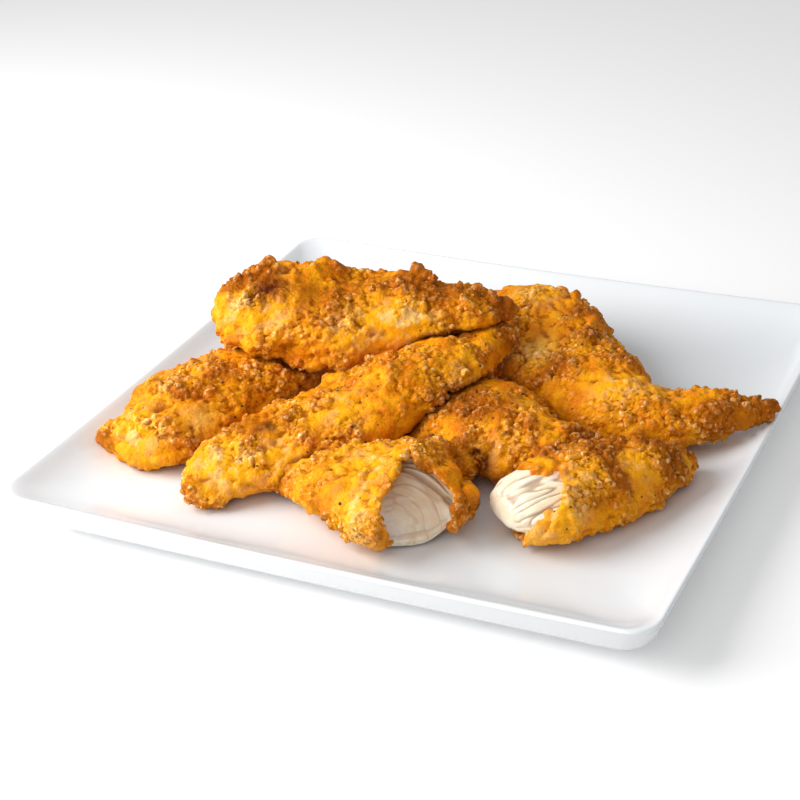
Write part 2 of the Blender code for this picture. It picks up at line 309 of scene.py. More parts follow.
# Oil stain and painted warm glow: the glaze is tinted amber near the food, partly for oil seeping out and
# partly as painted bounce light from the fried crumb.
glaze_white = glaze.mix(glaze_white, (0.72, 0.50, 0.28), 0.45 * glaze.mark("oil_and_glow"))
glaze_thin = glaze.noise(9 * MM).between(0.3, 0.75)
glaze.finish(Base_Color=glaze.mix(glaze_white, (0.70, 0.66, 0.60), bare_clay),
             Roughness=0.09 + 0.06 * glaze_thin + 0.5 * bare_clay,
             Normal=glaze.bump(glaze.noise(24 * MM, 1.0), 0.2, 0.3 * MM),
             IOR=1.52)

rings = plate_rings()
outline_count = len(square_outline(1.0, 0.1))
plate_bm = bmesh.new()
bmesh.ops.create_grid(plate_bm, x_segments=outline_count, y_segments=len(rings) - 1, size=1.0)
for vert in plate_bm.verts:
    along = round((vert.co.x + 1) / 2 * outline_count)
    half, corner, height, lift = rings[round((vert.co.y + 1) / 2 * (len(rings) - 1))]
    spot = square_outline(half, corner)[along % outline_count]
    towards_corner = abs(spot.x * spot.y) / half ** 2
    vert.co = Vector((spot.x, spot.y, height)) * MM
    vert.co.z += CORNER_LIFT * lift * towards_corner ** 2
bmesh.ops.remove_doubles(plate_bm, verts=plate_bm.verts[:], dist=0.01 * MM)
bmesh.ops.holes_fill(plate_bm, edges=plate_bm.edges[:], sides=outline_count)
bmesh.ops.recalc_face_normals(plate_bm, faces=plate_bm.faces[:])
plate_mesh = bpy.data.meshes.new("plate_glazed")
plate_bm.to_mesh(plate_mesh)
plate_bm.free()
food_bm = bmesh.new()
for node in ("tender_left", "tender_long", "tender_back", "tender_right", "torn_front_coating",
             "torn_right_coating"):
    food_bm.from_mesh(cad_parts[node].data)
food = BVHTree.FromBMesh(food_bm)
food_bm.free()
oil_and_glow = plate_mesh.attributes.new("oil_and_glow", "FLOAT", "POINT")
outside = plate_mesh.attributes.new("outside", "FLOAT", "POINT")
for vert in plate_mesh.vertices:
    # Painted shade: a share for the outer wall and underside, where they face down.
    outside.data[vert.index].value = min(max((0.25 - vert.normal.z) / 0.5, 0.0), 1.0)
    # Oil stain and painted warm glow, fading with distance from the food.
    gap = food.find_nearest(vert.co)[3]
    oil_and_glow.data[vert.index].value = math.exp(-gap / OIL_AND_GLOW_SPREAD) if vert.co.z > OIL_AND_GLOW_FROM else 0.0
plate = new_piece("plate_glazed", plate_mesh, glaze)
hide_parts("plate")


# Left strip
# A strip of chicken breast, dipped in batter, rolled in seasoned crumb and fried until the crumb is
# golden, with browned ridges. The crumb is thick and lumpy, and thin and smooth where it was rubbed.

WELD = 0.01 * MM
CRUST_GRAIN = 0.62 * MM  # how fine the crust's mesh is
CRUMB_TRIES = 2200
CRUMB_RADIUS = (0.5, 2.3, 0.8)  # least, most and commonest, in mm
LARGE_CRUMB = 3 * MM  # from here on a crumb is rounder
CRUST_LOWEST = 8.02 * MM
FINE_HEIGHT = 0.30 * MM  # of a grain that counts as a crest
BROAD_HEIGHT = 1.0 * MM  # of a lump that counts as a ridge
FOLD_SIZE = 15 * MM
BULGE_SIZE = 7 * MM
TEAR_SIZE = 5 * MM
CRUMBY_PATCH = 13 * MM
BROWN_PATCH = 12 * MM
ORANGE_PATCH = 8 * MM
COARSE_GRAINS = 2.7 * MM
FINE_GRAINS = 1.4 * MM
DIMPLE_SIZE = 3.6 * MM
CORNERS = [(x, y, z) for x in (0, 1) for y in (0, 1) for z in (0, 1)]
NEIGHBOURS = [(x, y, z) for x in (-1, 0, 1) for y in (-1, 0, 1) for z in (-1, 0, 1)]


def cad_surface(node):
    """A CAD node's closed surface, for rays and distances."""
    bm = bmesh.new()
    bm.from_mesh(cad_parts[node].data)
    bmesh.ops.remove_doubles(bm, verts=bm.verts[:], dist=WELD)
    tree = BVHTree.FromBMesh(bm)
    bm.free()
    return tree


def where_seen(surface, pixel_x, pixel_y):
    """The point of a surface that a pixel of the photograph shows, or the nearest to its ray."""
    ray = view_ray(pixel_x, pixel_y)
    spot = surface.ray_cast(eye, ray)[0]
    along = VIEW_DISTANCE
    while spot is None and along is not None:
        nearest = surface.find_nearest(eye + ray * along)[0]
        along = (nearest - eye).dot(ray)
        spot = surface.find_nearest(eye + ray * along)[0]
    return spot


def with_modifiers(name, mesh, modifiers):
    """A mesh after some modifiers: each is its type and its settings."""
    carrier = bpy.data.objects.new(name, mesh)
    bpy.context.scene.collection.objects.link(carrier)
    for kind, settings in modifiers:
        modifier = carrier.modifiers.new(kind.lower(), kind)
        for setting, value in settings.items():
            setattr(modifier, setting, value)
    finished = carrier.evaluated_get(bpy.context.evaluated_depsgraph_get())
    result = bpy.data.meshes.new_from_object(finished)
    bpy.data.objects.remove(carrier)
    bpy.data.meshes.remove(mesh)
    return result


def cad_copy(name, node, levels):
    """A welded copy of a CAD node's mesh, smoothed."""
    bm = bmesh.new()
    bm.from_mesh(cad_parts[node].data)
    bmesh.ops.remove_doubles(bm, verts=bm.verts[:], dist=WELD)
    mesh = bpy.data.meshes.new(name)
    bm.to_mesh(mesh)
    bm.free()
    return with_modifiers(name, mesh, [("SUBSURF", {"levels": levels, "render_levels": levels})])


def points_of(mesh):
    points = np.empty(len(mesh.vertices) * 3, np.float32)
    mesh.vertices.foreach_get("co", points)
    return points.reshape(-1, 3).astype(float)


def normals_of(mesh):
    normals = np.empty(len(mesh.vertices) * 3, np.float32)
    mesh.vertex_normals.foreach_get("vector", normals)
    return normals.reshape(-1, 3).astype(float)


def edges_of(mesh):
    edges = np.empty(len(mesh.edges) * 2, np.int32)
    mesh.edges.foreach_get("vertices", edges)
    return edges.reshape(-1, 2)


def move_points(mesh, points):
    mesh.vertices.foreach_set("co", points.astype(np.float32).ravel())
    mesh.update()


def mark_points(mesh, name, values):
    mark = mesh.attributes.new(name, "FLOAT", "POINT")
    mark.data.foreach_set("value", np.asarray(values, np.float32))


def evened(values, edges, rounds):
    """Values at the points, each averaged with its neighbours' for some rounds."""
    first, second = edges[:, 0], edges[:, 1]
    count = len(values)
    shared = np.bincount(edges.ravel(), minlength=count).clip(1)
    table = values.reshape(count, -1).copy()
    for _ in range(rounds):
        for column in range(table.shape[1]):
            here = table[:, column]
            total = np.bincount(first, here[second], count) + np.bincount(second, here[first], count)
            table[:, column] = 0.5 * here + 0.5 * total / shared
    return table.reshape(values.shape)


def chances(cells, seed):
    """A number from 0 to 1 for each whole-numbered cell."""
    mixed = cells[:, 0] * 73856093 ^ cells[:, 1] * 19349663 ^ cells[:, 2] * 83492791 ^ seed * 2654435
    for factor in (1274126177, 1103515245):
        mixed = mixed & 0x7fffffff
        mixed = (mixed ^ (mixed >> 15)) * factor
    return ((mixed >> 8) & 0xffffff) / 0xffffff


def ripple(points, size, seed):
    """Smooth noise from about -1 to 1 at each point, with features about size across."""
    scaled = points / size + 0.37 * seed
    cell = np.floor(scaled).astype(np.int64)
    part = scaled - cell
    ease = part ** 3 * (part * (part * 6 - 15) + 10)
    total = np.zeros(len(points))
    for corner in CORNERS:
        weight = np.prod(np.where(corner, ease, 1 - ease), axis=1)
        for axis in range(3):
            slope = chances(cell + corner, seed * 3 + axis) * 2 - 1
            total += weight * slope * (part[:, axis] - corner[axis])
    return total * 1.7


def pebbles(points, size, seed):
    """For each point the roundness of its grain, 1 in the middle to 0, and a number for the grain."""
    scaled = points / size + 0.61 * seed
    cell = np.floor(scaled).astype(np.int64)
    nearest = np.full(len(points), 9.0)
    number = np.zeros(len(points))
    for offset in NEIGHBOURS:
        there = cell + offset
        away = np.zeros(len(points))
        for axis in range(3):
            away += (there[:, axis] + chances(there, seed * 5 + axis) - scaled[:, axis]) ** 2
        closer = away < nearest
        nearest = np.where(closer, away, nearest)
        number = np.where(closer, chances(there, seed * 5 + 4), number)
    return 1 - np.clip(nearest, 0, 1), number


def step_between(values, low, high):
    share = np.clip((values - low) / (high - low), 0, 1)
    return share * share * (3 - 2 * share)


def around(points, surface, spots):
    """How near each point is to the spots of a list: (pixel x, pixel y, radius in mm, amount)."""
    total = np.zeros(len(points))
    for pixel_x, pixel_y, radius, amount in spots:
        centre = np.array(where_seen(surface, pixel_x, pixel_y))
        distance = np.linalg.norm(points - centre, axis=1) / (radius * MM)
        total += amount * np.exp(-distance ** 2)
    return total


def crumb_pile(name, mesh, spots, chance):
    """A mesh with one angular crumb added at each spot: (place, outward, radius)."""
    bm = bmesh.new()
    for place, outward, radius in spots:
        turn = outward.to_track_quat("Z", "Y").to_matrix().to_4x4()
        turn = turn @ Matrix.Rotation(chance.uniform(0, math.tau), 4, "Z")
        turn = turn @ Matrix.Rotation(chance.uniform(-0.6, 0.6), 4, "X")
        sides = (chance.uniform(0.8, 1.5), chance.uniform(0.8, 1.2), chance.uniform(0.5, 0.95), 1)
        matrix = Matrix.Translation(place) @ turn @ Matrix.Diagonal(sides)
        roundness = 2 if radius > LARGE_CRUMB else 1
        bmesh.ops.create_icosphere(bm, subdivisions=roundness, radius=radius, matrix=matrix)
    bm.from_mesh(mesh)
    joined = bpy.data.meshes.new(name)
    bm.to_mesh(joined)
    bm.free()
    bpy.data.meshes.remove(mesh)
    return joined


def without_crumbs_apart(mesh):
    """Takes away every part of a mesh that isn't joined to its largest part."""
    bm = bmesh.new()
    bm.from_mesh(mesh)
    part_of = [0] * len(bm.verts)
    bm.verts.ensure_lookup_table()
    parts = 0
    for start in bm.verts:
        if part_of[start.index]:
            continue
        parts += 1
        part_of[start.index] = parts
        waiting = [start]
        while waiting:
            for edge in waiting.pop().link_edges:
                for vert in edge.verts:
                    if not part_of[vert.index]:
                        part_of[vert.index] = parts
                        waiting.append(vert)
    largest = int(np.bincount(part_of).argmax())
    apart = [vert for vert, part in zip(bm.verts, part_of) if part != largest]
    bmesh.ops.delete(bm, geom=apart, context="VERTS")
    bm.to_mesh(mesh)
    bm.free()


crusts = []
FOOD_NODES = ["tender_left", "tender_long", "tender_back", "tender_right", "tender_top",
              "torn_front_coating", "torn_front_meat", "torn_right_coating", "torn_right_meat"]
# How far the painted shade between the pieces reaches, and the heights over which it fades by the dish.
CONTACT_SHADE_REACH = 4 * MM
CONTACT_SHADE_RANGE = (0.4 * MM, 3.6 * MM)
DISH_RANGE = (8.2 * MM, 10.5 * MM)


def contact_shade_share(points, node, own_meat):
    """How close each point lies to other food, as a share of painted shade: 1 where they touch and at
    least half by the dish.
    """
    bm = bmesh.new()
    for other in FOOD_NODES:
        if other not in (node, own_meat):
            bm.from_mesh(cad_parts[other].data)
    others = BVHTree.FromBMesh(bm)
    bm.free()
    nearest = [others.find_nearest(Vector(point), CONTACT_SHADE_REACH)[3] for point in points]
    apart = np.array([CONTACT_SHADE_REACH if distance is None else distance for distance in nearest])
    above_dish = step_between(points[:, 2], *DISH_RANGE)
    return 1 - step_between(apart, *CONTACT_SHADE_RANGE) * (0.5 + 0.5 * above_dish)


def breaded(name, node, seed, lumps, knobs, browned, burnt_and_shade, smooth_and_highlight, pale,
            meat=None, ragged=None, flaps=(), grown=()):
    """A strip's crumb coating, made round the CAD node's form.

    Every spot is (pixel x, pixel y, radius in mm, amount): lumps swell the form by the amount in mm,
    knobs are single lumps of crumb, flaps are lumps that lie on the meat inside, grown are lumps
    that stand past the outline, and the other lists colour the crumb. The bright spots are smooth,
    pale batter with a painted highlight, and some burnt spots are painted shade in the gaps between
    the pieces. ragged is a place in mm on a torn edge and the way that the edge faces.
    """
    surface = cad_surface(node)
    hollow = cad_surface(meat) if meat else None
    chance = random.Random(seed)
    mesh = cad_copy(name, node, 2)
    points = points_of(mesh)
    outward = normals_of(mesh)
    smooth_share = np.clip(around(points, surface, smooth_and_highlight + pale), 0, 1)
    open_share = np.ones(len(points))
    if hollow is not None:
        near_meat = np.array([hollow.find_nearest(Vector(point))[3] for point in points])
        open_share = step_between(near_meat, 0.8 * MM, 3.0 * MM)
    folds = np.abs(ripple(points, FOLD_SIZE, seed)) * 3.0 - 0.8
    bulges = np.abs(ripple(points, BULGE_SIZE, seed + 1)) * 2.2 - 0.6
    swell = folds * (1 - 0.5 * smooth_share) + bulges * (1 - 0.6 * smooth_share)
    points += outward * ((swell + around(points, surface, lumps)) * open_share * MM)[:, None]
    if ragged is not None:
        torn_at, facing = ragged
        facing = np.array(Vector(facing).normalized())
        near_tear = step_between((points - np.array(torn_at) * MM) @ facing, -5 * MM, -1 * MM)
        points += facing * (near_tear * ripple(points, TEAR_SIZE, seed + 2) * 1.6 * MM)[:, None]
    move_points(mesh, points)
    grainy = 0.6 * np.clip(around(points, surface, browned), 0, 1) - 0.8 * smooth_share
    crumby = np.clip(0.45 + 1.5 * ripple(points, CRUMBY_PATCH, seed + 3) + grainy, 0.06, 1)

    bm = bmesh.new()
    bm.from_mesh(mesh)
    bm.faces.ensure_lookup_table()
    areas = np.cumsum([face.calc_area() for face in bm.faces])
    spots = []
    for _ in range(CRUMB_TRIES):
        face = bm.faces[int(np.searchsorted(areas, chance.uniform(0, areas[-1])))]
        corner = face.verts[0].index
        radius = chance.triangular(*CRUMB_RADIUS) * MM
        if chance.random() < crumby[corner] and open_share[corner] > 0.6:
            place = face.calc_center_median() + face.normal * radius * 0.1
            spots.append((place, face.normal.copy(), radius))
    bm.free()
    for pixel_x, pixel_y, radius in knobs:
        place = where_seen(surface, pixel_x, pixel_y)
        spots.append((place, surface.find_nearest(place)[1], radius * MM))
    for pixel_x, pixel_y, radius in grown:
        ray = view_ray(pixel_x, pixel_y)
        near_by = where_seen(surface, pixel_x, pixel_y)
        past = eye + ray * (near_by - eye).dot(ray) - near_by
        past *= min(1.5 * radius * MM / max(past.length, 1e-6), 1.0)
        spots.append((near_by + past, -ray, radius * MM))
    for pixel_x, pixel_y, radius in flaps:
        place = where_seen(hollow, pixel_x, pixel_y)
        outward = hollow.find_nearest(place)[1]
        spots.append((place + outward * radius * 0.3 * MM, outward, radius * MM))
    mesh = crumb_pile(name, mesh, spots, chance)
    mesh = with_modifiers(name, mesh, [("REMESH", {"mode": "VOXEL", "voxel_size": CRUST_GRAIN})])
    without_crumbs_apart(mesh)

    edges = edges_of(mesh)
    points = evened(points_of(mesh), edges, 1)
    move_points(mesh, points)
    outward = normals_of(mesh)
    smooth_share = np.clip(around(points, surface, smooth_and_highlight + pale), 0, 1)
    grainy = 0.6 * np.clip(around(points, surface, browned), 0, 1) - 0.6 * smooth_share
    crumby = np.clip(0.5 + 1.5 * ripple(points, CRUMBY_PATCH, seed + 3) + grainy, 0.12, 1)
    coarse, coarse_number = pebbles(points, COARSE_GRAINS, seed)
    fine, fine_number = pebbles(points, FINE_GRAINS, seed + 1)
    relief = coarse * coarse_number * 1.2 * crumby
    relief += fine * fine_number ** 2 * (0.25 + 0.75 * crumby)
    relief += ripple(points, DIMPLE_SIZE, seed + 4) * 0.45
    points += outward * (relief * MM)[:, None]
    points[:, 2] = np.maximum(points[:, 2], CRUST_LOWEST)
    move_points(mesh, points)

    near = evened(points, edges, 6)
    far = evened(near, edges, 70)
    outward = normals_of(mesh)
    fine_height = np.einsum("ij,ij->i", points - near, outward) / FINE_HEIGHT
    broad_height = np.einsum("ij,ij->i", near - far, outward) / BROAD_HEIGHT
    patchy = ripple(points, BROWN_PATCH, seed + 6)
    brown = 0.05 + 0.40 * broad_height + 0.60 * patchy + 0.30 * (crumby - 0.5)
    brown += around(points, surface, browned) - 1.1 * smooth_share
    orange = 0.32 + 0.9 * ripple(points, ORANGE_PATCH, seed + 7) + 0.3 * broad_height - 0.3 * smooth_share
    mark_points(mesh, "brown", step_between(brown, 0.05, 1.05))
    mark_points(mesh, "orange", step_between(orange, 0.1, 1.0))
    mark_points(mesh, "smooth_and_highlight", smooth_share)
    mark_points(mesh, "burnt_and_shade", np.clip(around(points, surface, burnt_and_shade), 0, 1))
    mark_points(mesh, "pale", np.clip(around(points, surface, pale), 0, 1))
    # Painted shade: the pit mark darkens the crumb in its hollows.
    mark_points(mesh, "pit_shade", step_between(-fine_height - 1.2 * broad_height, -0.1, 1.3))
    mark_points(mesh, "crest", step_between(fine_height, 0.1, 1.4))
    mark_points(mesh, "crumby", crumby)
    # Painted shade where the crumb lies against other food or by the dish.
    mark_points(mesh, "contact_shade", contact_shade_share(points, node, meat))
    piece = new_piece(name, mesh, crumb_coat)
    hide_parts(node)
    bm = bmesh.new()
    bm.from_mesh(mesh)
    crusts.append(BVHTree.FromBMesh(bm))
    bm.free()
    return piece


crumb_coat = Paint("fried_crumb_coat")
brown_mark = crumb_coat.mark("brown")
orange_mark = crumb_coat.mark("orange")
burnt_and_shade_mark = crumb_coat.mark("burnt_and_shade")
smooth_and_highlight_mark = crumb_coat.mark("smooth_and_highlight")
pit_shade_mark = crumb_coat.mark("pit_shade")
crest_mark = crumb_coat.mark("crest")
crumby_mark = crumb_coat.mark("crumby")
contact_shade_mark = crumb_coat.mark("contact_shade")
cloud = crumb_coat.noise(6 * MM, 3.0, 0.6)
speck = crumb_coat.noise(1.3 * MM, 2.0, 0.6)
grain_tone = crumb_coat.grains(1.3 * MM)
coat_colour = crumb_coat.mix((0.95, 0.395, 0.005), (0.82, 0.255, 0.001), cloud.between(0.36, 0.68))
orange_share = 0.8 * orange_mark * speck.between(0.25, 0.6)
coat_colour = crumb_coat.mix(coat_colour, (0.66, 0.140, 0.0), orange_share)
# Smooth pale batter and painted highlight: the bright spots are painted cream where the lamp falls.
cream_and_highlight = crumb_coat.mix((0.99, 0.44, 0.006), (1.0, 0.64, 0.20), cloud.between(0.46, 0.62))
coat_colour = crumb_coat.mix(coat_colour, cream_and_highlight, 0.88 * smooth_and_highlight_mark)
coat_colour = crumb_coat.mix(coat_colour, (0.38, 0.088, 0.001), 0.9 * brown_mark)
dark_grains = 0.45 * crumby_mark * grain_tone.between(0.55, 0.2)
coat_colour = crumb_coat.mix(coat_colour, (0.34, 0.09, 0.001), dark_grains)
# Pale crumb tips and painted highlight: the crests of the grains are painted cream.
pale_crumb_and_highlight = (0.25 + 0.75 * crumby_mark) * crest_mark * grain_tone.between(0.35, 0.8)
coat_colour = crumb_coat.mix(coat_colour, (0.98, 0.62, 0.24), 0.95 * pale_crumb_and_highlight * (1 - 0.5 * brown_mark))
coat_colour = crumb_coat.mix(coat_colour, (0.93, 0.58, 0.16), 0.7 * crumb_coat.mark("pale"))
# Painted shade in the hollows of the crumb.
coat_colour = crumb_coat.mix(coat_colour, (0.29, 0.060, 0.0), 0.85 * pit_shade_mark)
# Burnt spots, and painted shade where some of them lie in the gaps between the pieces.
coat_colour = crumb_coat.mix(coat_colour, (0.09, 0.014, 0.001), burnt_and_shade_mark * cloud.between(0.3, 0.5))
dark_specks = 0.55 * (1 - speck.between(0.27, 0.40)) * (1 - 0.7 * smooth_and_highlight_mark)
coat_colour = crumb_coat.mix(coat_colour, (0.30, 0.075, 0.001), dark_specks)
# Painted shade where the crumb lies against other food or the dish.
coat_colour = crumb_coat.mix(coat_colour, (0.15, 0.030, 0.0), 0.8 * contact_shade_mark)
granules = crumb_coat.bumps(1.25 * MM) * (0.25 + 0.75 * crumby_mark)
granules = granules + crumb_coat.noise(0.8 * MM, 3.0, 0.65)
crumb_coat.finish(
    Base_Color=coat_colour,
    Roughness=0.34 + 0.16 * crumby_mark + 0.16 * speck,
    Normal=crumb_coat.bump(granules, 0.9, 0.55 * MM),
    Specular_IOR_Level=0.07,
    Subsurface_Weight=0.06,
    Subsurface_Radius=(1.0, 0.35, 0.08),
    Subsurface_Scale=1.2 * MM,
    Coat_Weight=0.9 * crest_mark * grain_tone.between(0.6, 0.85),
    Coat_Roughness=0.16,
)

breaded(
    "strip_left", "tender_left", 11,
    lumps=[(135, 425, 7, 1.2), (178, 392, 8, 1.0), (205, 372, 7, 1.0), (228, 358, 6, 1.5),
           (160, 445, 7, 1.0), (291, 362, 5, -3.0)],
    knobs=[(225, 356, 3.0), (237, 352, 2.6), (246, 347, 2.4), (217, 362, 2.0), (104, 438, 3.2),
           (110, 445, 2.4), (300, 378, 3.0), (292, 386, 2.6), (309, 384, 2.6), (285, 374, 2.4),
           (318, 374, 2.6), (279, 386, 2.2), (268, 376, 2.2), (325, 366, 2.4)],
    browned=[(178, 396, 6, 0.8), (143, 408, 4, 0.5), (216, 377, 8, 1.1), (108, 440, 6, 0.6),
             (165, 398, 5, 0.4)],
    # Painted shade: all three burnt spots are shade, where the strip passes under the long strip and in
    # the gap under the top strip.
    burnt_and_shade=[(195, 441, 4, 0.5), (289, 361, 4, 0.9), (297, 364, 3.5, 0.8)],
    smooth_and_highlight=[(138, 430, 11, 0.9), (200, 369, 6, 0.4), (164, 385, 7, 0.4)],
    pale=[(200, 419, 5, 0.7)],
)


# Long strip
# A strip of chicken breast in the same fried crumb, which lies in front of the left strip and up on
# the back strip. Its left end is thin and pale, with a painted highlight, and it has one nearly burnt
# spot. The two dark spots in the gap under the top strip are painted shade.

breaded(
    "strip_long", "tender_long", 12,
    lumps=[(216, 465, 9, 1.5), (270, 430, 9, 1.5), (330, 400, 10, 1.0), (385, 370, 7, 1.5),
           (440, 405, 6, 2.0), (460, 360, 8, 1.0), (456, 335, 6, -2.5)],
    knobs=[(441, 411, 2.8), (447, 404, 2.4), (436, 418, 2.2), (503, 326, 2.2), (512, 334, 2.4),
           (197, 503, 2.0), (350, 364, 2.6), (364, 360, 2.4), (378, 357, 2.6), (340, 368, 2.6)],
    browned=[(237, 427, 9, 0.7), (250, 450, 8, 0.5), (322, 419, 8, 0.6), (391, 366, 8, 0.2),
             (433, 412, 7, 0.3), (502, 334, 6, 0.6), (271, 427, 9, 0.6), (415, 403, 8, 0.4),
             (440, 422, 6, 1.0), (425, 426, 5, 0.8)],
    # Painted shade: the last two burnt spots, in the gap under the top strip, are shade; the others are
    # real burning.
    burnt_and_shade=[(271, 428, 4.5, 0.9), (261, 434, 3, 0.8), (284, 421, 3.5, 0.6), (197, 503, 3, 0.9),
           (452, 333, 3.5, 0.8), (461, 330, 3.5, 0.8)],
    smooth_and_highlight=[(216, 461, 11, 0.8), (279, 455, 10, 0.7), (237, 472, 8, 0.6), (343, 408, 9, 0.6),
            (463, 370, 8, 0.5)],
    pale=[],
)


# Back strip
# A thick strip in the same fried crumb, which carries the long strip and ends behind the right torn
# half. Its crumb is browned along the ridge. It is painted dark as shade in the gap at its front and
# in the long strip's shadow.

breaded(
    "strip_back", "tender_back", 13,
    lumps=[(500, 400, 8, 1.5), (553, 435, 8, 1.5), (492, 472, 6, 3.5)],
    knobs=[(588, 427, 2.6), (574, 422, 2.0), (488, 481, 2.6), (495, 480, 2.6), (483, 478, 2.2)],
    grown=[(485, 482, 2.2), (490, 484, 2.6), (496, 483, 2.4)],
    browned=[(489, 416, 12, 0.7), (464, 403, 9, 0.9), (553, 429, 9, 0.2), (595, 440, 9, 0.9)],
    # Painted shade: every burnt spot here is shade, the first in the long strip's shadow and the rest in
    # the gap at the front.
    burnt_and_shade=[(460, 398, 6, 0.4), (477, 449, 4, 0.9), (481, 459, 4, 0.9), (485, 468, 4, 0.9),
           (490, 475, 3.5, 0.7)],
    smooth_and_highlight=[(533, 403, 8, 0.3), (496, 452, 6, 0.5), (520, 445, 6, 0.3)],
    pale=[],
)


# Right strip
# A strip in the same fried crumb that was folded as it fried, so that it bends in the middle. Its
# thin tip is browned all over and lies over the plate's rim.

breaded(
    "strip_right", "tender_right", 14,
    lumps=[(545, 295, 9, 1.5), (595, 325, 8, 1.5), (640, 360, 8, 1.5), (617, 390, 9, 1.5),
           (700, 390, 8, 1.0)],
    knobs=[(575, 296, 2.6), (596, 312, 2.4), (775, 402, 2.4), (781, 406, 2.2), (503, 374, 4.0),
           (508, 383, 3.6), (498, 367, 3.6)],
    browned=[(579, 311, 9, 0.7), (584, 334, 9, 0.6), (630, 357, 9, 0.5), (775, 403, 8, 0.7),
             (731, 426, 9, 0.8), (553, 372, 9, 0.7), (760, 420, 6, 0.8), (706, 408, 8, 0.6)],
    burnt_and_shade=[(775, 412, 4, 0.3)],
    smooth_and_highlight=[(538, 293, 11, 0.8), (617, 388, 9, 0.8), (655, 390, 8, 0.4)],
    pale=[(538, 350, 7, 0.7)],
)


# Top strip
# The brownest strip, which lies across the left and the long strip. Large lumps of crumb stand on its
# ridge, with dark brown spots between them and pale thin batter along its lower side, which has a
# painted highlight.

breaded(
    "strip_top", "tender_top", 15,
    lumps=[(225, 300, 8, 1.5), (268, 268, 7, 0.8), (328, 268, 7, 0.6), (412, 280, 8, 1.6),
           (350, 264, 9, -3.0), (372, 266, 8, -2.5), (295, 268, 6, -1.5), (300, 300, 8, 1.2),
           (395, 318, 9, 2.0), (345, 330, 10, 1.2), (255, 325, 10, 1.0), (305, 345, 8, 1.5),
           (340, 360, 7, 1.5), (460, 300, 7, 1.0), (288, 354, 6, -3.0), (456, 328, 7, -2.5)],
    knobs=[(267, 263, 3.4), (326, 262, 3.0), (333, 265, 2.6), (411, 269, 3.4), (420, 272, 3.0),
           (432, 278, 2.4), (247, 270, 2.4), (225, 279, 2.4), (213, 300, 2.4), (470, 286, 2.2),
           (498, 296, 2.6), (508, 303, 2.6), (353, 272, 2.2), (295, 262, 2.0), (318, 360, 2.4),
           (336, 362, 2.2)],
    grown=[(268, 260, 3.0), (261, 264, 2.2), (276, 263, 1.8), (323, 262, 2.8), (331, 264, 2.2),
           (314, 266, 1.8), (418, 268, 3.0), (426, 272, 2.6), (434, 278, 2.2), (441, 284, 1.6),
           (245, 271, 1.8), (236, 275, 1.6), (218, 291, 1.5), (296, 264, 1.4), (368, 277, 1.5),
           (460, 284, 1.7), (477, 286, 1.8), (492, 290, 1.6), (400, 272, 1.5), (215, 318, 1.5),
           (219, 330, 1.5)],
    browned=[(246, 280, 9, 0.9), (225, 285, 6, 0.7), (273, 291, 8, 1.0), (300, 288, 8, 0.4),
             (322, 301, 8, 0.7), (338, 309, 7, 0.5), (357, 280, 8, 0.3), (385, 290, 7, 0.5),
             (412, 285, 9, 0.5), (438, 290, 9, 0.8), (451, 288, 7, 0.7), (404, 279, 6, 0.5),
             (476, 294, 9, 0.4), (500, 304, 8, 0.9), (267, 263, 4, 0.9), (330, 266, 6, 0.6)],
    burnt_and_shade=[(273, 290, 6, 1.0), (258, 297, 4, 0.6), (502, 302, 6, 0.4), (262, 302, 3, 0.6)],
    smooth_and_highlight=[(242, 312, 9, 0.8), (275, 318, 10, 0.5), (363, 325, 8, 0.4), (395, 320, 9, 0.9),
            (425, 326, 8, 0.9), (343, 333, 8, 0.7), (282, 271, 4, 0.3)],
    pale=[],
)


# Front torn half
# Part of a strip whose coating is torn open at the front, so that the white meat shows inside. The
# meat is torn to a shallow hollow, and its fibres run round the hollow in arcs.

breaded(
    "half_front_coat", "torn_front_coating", 16, meat="torn_front_meat",
    lumps=[(365, 530, 8, 1.5), (325, 500, 8, 0.8), (350, 455, 8, 1.0), (460, 450, 8, 3.0),
           (473, 466, 7, 3.5)],
    knobs=[(458, 430, 2.4), (445, 430, 2.2), (470, 440, 2.0), (363, 545, 2.4), (345, 535, 2.0)],
    grown=[(461, 448, 4.6), (466, 457, 5.0), (469, 466, 5.2), (470, 475, 5.0), (470, 485, 4.6),
           (469, 495, 4.2)],
    flaps=[(380, 528, 2.2), (382, 534, 2.2), (385, 539, 2.2), (389, 542, 2.0), (393, 543, 1.8)],
    browned=[(438, 429, 7, 0.9), (412, 446, 6, 0.4), (343, 486, 7, 0.6)],
    # Painted shade: the burnt spot is shade in the dark crevice at the coating's back.
    burnt_and_shade=[(438, 427, 4.5, 1.0)],
    smooth_and_highlight=[(322, 451, 12, 0.9), (374, 461, 12, 1.0), (353, 510, 9, 0.8)],
    pale=[(360, 540, 7, 0.5)],
)


MEAT_GRAIN = 0.45 * MM
MEAT_LOWEST = 8.3 * MM
BUNDLE_WIDTH = 3.6 * MM
STRAND_WIDTH = 1.3 * MM


